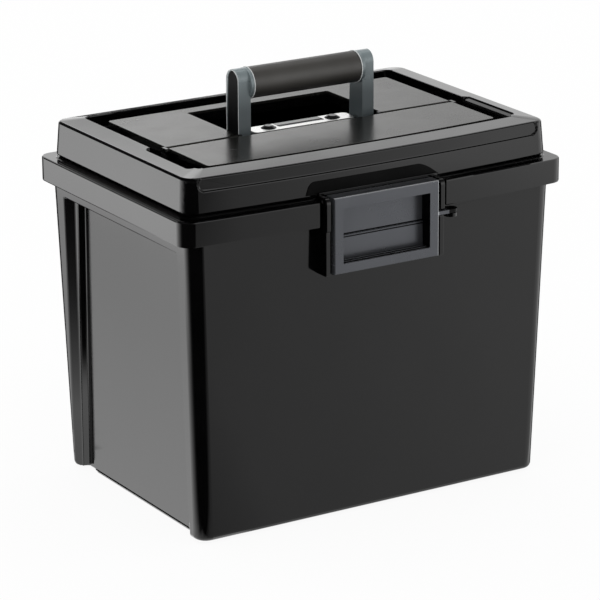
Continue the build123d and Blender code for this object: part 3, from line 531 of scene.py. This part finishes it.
# ---------------------------------------------------------------- stage
def level_at(value, stops):
    """Straight-line reading of a table of (position, level) pairs."""
    low = stops[0]
    for high in stops[1:]:
        if value < high[0]:
            share = max(0.0, (value - low[0]) / (high[0] - low[0]))
            return low[1] + (high[1] - low[1]) * share
        low = high
    return low[1]


def bearing(x, y, corner):
    """Direction from a corner of the box to a floor point, in degrees from +X."""
    return math.degrees(math.atan2(y - corner[1], x - corner[0])) % 360.0


SIDE_X, FRONT_Y = -0.163, -0.122        # feet of the left and the front wall
NEAR_LEFT, NEAR_RIGHT, FAR_LEFT = (-0.168, -0.118), (0.168, -0.11), (-0.168, 0.118)
FRONT_REACH, FRONT_SLANT, FRONT_LEAN = 0.86, 0.585, 0.16    # how the front wall's picture lies on the floor
SIDE_REACH, SIDE_SLANT = 0.478, 0.88                        # the same for the left wall
FRONT_MARGIN, SIDE_MARGIN, SIDE_LIMIT = 0.03, 0.02, -0.12
FLOOR_BASE = 0.85
OUTLINE = 0.03          # what the silhouette edges reflect
# bearings at which the patches of the floor begin, then tables of (place or bearing, brightness)
FRONT_FROM, SIDE_FROM, RIGHT_FROM, RIGHT_TO, REAR_FROM = 262.0, 100.0, 290.0, 90.0, 56.0
RIGHT_SHIFT = 70.0      # turns the right patch's bearings so that they start at 0
FRONT_COLUMNS = [(-0.3, 0.0), (-0.2, 0.22), (-0.165, 0.36), (-0.13, 0.47), (-0.09, 0.6),
                 (0.05, 0.68), (0.2, 0.8), (0.35, 0.9), (0.6, 1.2), (1.6, 1.4)]
FRONT_TURNS = [(270.0, 0.0), (288.0, 1.0)]
SIDE_ROWS = [(0.0, 1.75), (0.5, 1.6), (0.74, 1.65), (0.84, 2.3), (1.2, 2.5), (3.0, 2.4)]
SIDE_COLUMNS = [(-0.12, 1.08), (0.0, 1.0), (0.12, 0.94)]
SIDE_TURNS = [(124.0, 1.0), (145.0, 0.62), (160.0, 0.32), (172.0, 0.06), (185.0, 0.0)]
FAR_TURNS = [(104.0, OUTLINE), (112.0, 1.0)]
RIGHT_TURNS = [(0.0, 1.2), (70.0, 1.7), (80.0, 0.9), (90.0, OUTLINE), (132.0, OUTLINE)]
REAR_TURNS = [(56.0, FLOOR_BASE), (60.0, OUTLINE), *FAR_TURNS]


def floor_glow(x, y):
    """Brightness of the floor in reflections: softbox light at the left, flags at the corners."""
    turn = bearing(x, y, NEAR_LEFT)
    if turn > FRONT_FROM and y < FRONT_Y + FRONT_MARGIN:
        away = max(0.0, (FRONT_Y - y) / FRONT_REACH)
        column = x + FRONT_SLANT * (y - FRONT_Y) + FRONT_LEAN * away
        return level_at(column, FRONT_COLUMNS) * level_at(turn, FRONT_TURNS)
    if x < SIDE_LIMIT and y > NEAR_LEFT[1] - SIDE_MARGIN or SIDE_FROM < turn < FRONT_FROM:
        reach = max(0.0, (SIDE_X - x) / SIDE_REACH)
        level = level_at(reach, SIDE_ROWS) * level_at(y - SIDE_SLANT * reach, SIDE_COLUMNS)
        if turn > SIDE_FROM:
            level *= level_at(turn, SIDE_TURNS)
        if y > FAR_LEFT[1]:
            level *= level_at(bearing(x, y, FAR_LEFT), FAR_TURNS)
        return level
    side = bearing(x, y, NEAR_RIGHT)
    if side > RIGHT_FROM or side < RIGHT_TO and y < x:
        return level_at((side + RIGHT_SHIFT) % 360.0, RIGHT_TURNS)
    rear = bearing(x, y, FAR_LEFT)
    if y > FAR_LEFT[1] and rear > REAR_FROM:
        return level_at(rear, REAR_TURNS)
    return FLOOR_BASE


# headings at which the parts of the dome begin and end, then tables of (rise or heading, brightness)
RIGHT_END, TOP_START, TOP_END, BACK_START, BACK_END, RIGHT_START = 5.0, 20.0, 35.0, 52.0, 92.0, 285.0
BACK_ENTRY = 0.72       # brightness of the back where the top ends
BACK_RISES = [(0.0, 1.7), (10.0, 1.5), (18.0, 1.38), (22.5, 1.05), (25.5, 2.0), (29.5, 2.7), (33.0, 1.5),
              (40.0, 0.1)]
RIGHT_RISES = [(0.0, 1.3), (20.0, 1.4), (34.0, 0.5), (46.0, 0.12), (90.0, 0.1)]
TOP_RISES = [(0.0, 1.1), (30.0, 1.1), (55.0, 1.2), (75.0, 0.6), (90.0, 0.1)]
BACK_HEADINGS = [(52.0, 0.6), (55.0, 0.66), (60.0, 0.98), (64.0, 1.12), (75.0, 1.1), (90.0, 0.03)]
DARK_HEADINGS = [(92.0, 0.03), (265.0, 0.03), (285.0, 1.0)]


def sky_glow(turn, rise):
    """Brightness of the room in reflections, by direction: a broad light behind, flags elsewhere."""
    back, right, top = (level_at(rise, rises) for rises in (BACK_RISES, RIGHT_RISES, TOP_RISES))
    if turn > RIGHT_START or turn < RIGHT_END:
        return right
    if turn < TOP_START:
        return level_at(turn, [(RIGHT_END, right), (TOP_START, top)])
    if turn < TOP_END:
        return top
    if turn < BACK_START:
        return level_at(turn, [(TOP_END, top), (BACK_START, BACK_ENTRY * back)])
    if turn < BACK_END:
        return back * level_at(turn, BACK_HEADINGS)
    return right * level_at(turn, DARK_HEADINGS)


def glow_material(name):
    """Emitter whose strength is the mesh's own glow value."""
    material = bpy.data.materials.new(name)
    material.use_nodes = True
    tree = material.node_tree
    tree.nodes.clear()
    out = tree.nodes.new("ShaderNodeOutputMaterial")
    lamp = tree.nodes.new("ShaderNodeEmission")
    value = tree.nodes.new("ShaderNodeAttribute")
    value.attribute_name = "glow"
    tree.links.new(value.outputs["Fac"], lamp.inputs["Strength"])
    tree.links.new(lamp.outputs[0], out.inputs[0])
    return material


def grid_mesh(name, points, columns):
    """Mesh of quads through rows of points."""
    rows = len(points) // columns
    faces = []
    for row in range(rows - 1):
        for column in range(columns - 1):
            first = row * columns + column
            faces.append((first, first + 1, first + columns + 1, first + columns))
    mesh = bpy.data.meshes.new(name)
    mesh.from_pydata(points, [], faces)
    return mesh


def reflected(name, points, columns, levels):
    """Part of the studio that shows in reflections only."""
    mesh = grid_mesh(name, points, columns)
    glow = mesh.attributes.new("glow", "FLOAT", "POINT")
    for item, level in zip(glow.data, levels):
        item.value = level
    mesh.materials.append(glow_material(name))
    obj = bpy.data.objects.new(name, mesh)
    bpy.context.scene.collection.objects.link(obj)
    obj.visible_camera = False
    obj.visible_diffuse = False
    obj.visible_shadow = False
    obj.visible_transmission = False


FLOOR_WHITE, FLOOR_ROUGH = 0.93, 0.9
FLOOR_HALF, FLOOR_STEPS = 7.0, 110
CARD_Z = 0.0006         # the reflected floor lies this far above the real one
SKY_R = 9.0
TURN_STEP, RISE_STEP = 5.0, 2.0     # degrees between the points of the dome


def floor_material():
    """White floor: the camera, reflections and glass see it nearly white, with a faint shadow."""
    material, tree, shader = new_material("floor_white")
    shader.inputs["Base Color"].default_value = (FLOOR_WHITE, FLOOR_WHITE, FLOOR_WHITE, 1)
    shader.inputs["Roughness"].default_value = FLOOR_ROUGH
    shader.inputs["Specular IOR Level"].default_value = 0.0
    path = tree.nodes.new("ShaderNodeLightPath")
    seen = either(tree, path.outputs["Is Camera Ray"], path.outputs["Is Glossy Ray"])
    seen = either(tree, seen, path.outputs["Is Transmission Ray"])
    share = times(tree, seen, FLOOR_WHITE)
    white = tree.nodes.new("ShaderNodeEmission")
    mix = tree.nodes.new("ShaderNodeMixShader")
    tree.links.new(share, mix.inputs[0])
    tree.links.new(shader.outputs[0], mix.inputs[1])
    tree.links.new(white.outputs[0], mix.inputs[2])
    out = next(node for node in tree.nodes if node.type == "OUTPUT_MATERIAL")
    tree.links.new(mix.outputs[0], out.inputs[0])
    return material


def stretched(steps):
    """Positions from -1 to 1, close together near the middle."""
    return [math.copysign(abs(k / steps) ** 3, k) for k in range(-steps, steps + 1)]


def make_stage():
    """Floor, plain white surroundings, and what the gloss reflects."""
    half = FLOOR_HALF
    mesh = grid_mesh("floor", [(-half, -half, 0), (half, -half, 0), (-half, half, 0), (half, half, 0)], 2)
    mesh.materials.append(floor_material())
    floor = bpy.data.objects.new("floor", mesh)
    bpy.context.scene.collection.objects.link(floor)
    line = [half * p for p in stretched(FLOOR_STEPS)]
    points = [(x, y, CARD_Z) for y in line for x in line]
    reflected("floor_glow", points, len(line), [floor_glow(*point[:2]) for point in points])
    turns = [k * TURN_STEP for k in range(round(360.0 / TURN_STEP) + 1)]
    rises = [k * RISE_STEP for k in range(round(90.0 / RISE_STEP) + 1)]
    dome, levels = [], []
    for rise in rises:
        across = SKY_R * math.cos(math.radians(rise))
        height = SKY_R * math.sin(math.radians(rise))
        for turn in turns:
            heading = math.radians(turn)
            dome.append((across * math.cos(heading), across * math.sin(heading), height))
            levels.append(sky_glow(turn % 360.0, rise))
    reflected("sky_glow", dome, len(turns), levels)
    world = bpy.data.worlds.new("studio")
    world.use_nodes = True
    world.node_tree.nodes["Background"].inputs["Color"].default_value = (1, 1, 1, 1)
    world.node_tree.nodes["Background"].inputs["Strength"].default_value = 1.0
    bpy.context.scene.world = world


make_camera()
MATERIALS = make_materials()
dress_nodes(MATERIALS)
handle_trim(MATERIALS)
latch_lines(MATERIALS)
latch_reflection_pad(MATERIALS)
make_stage()

bpy.context.scene.view_settings.view_transform = "Standard"
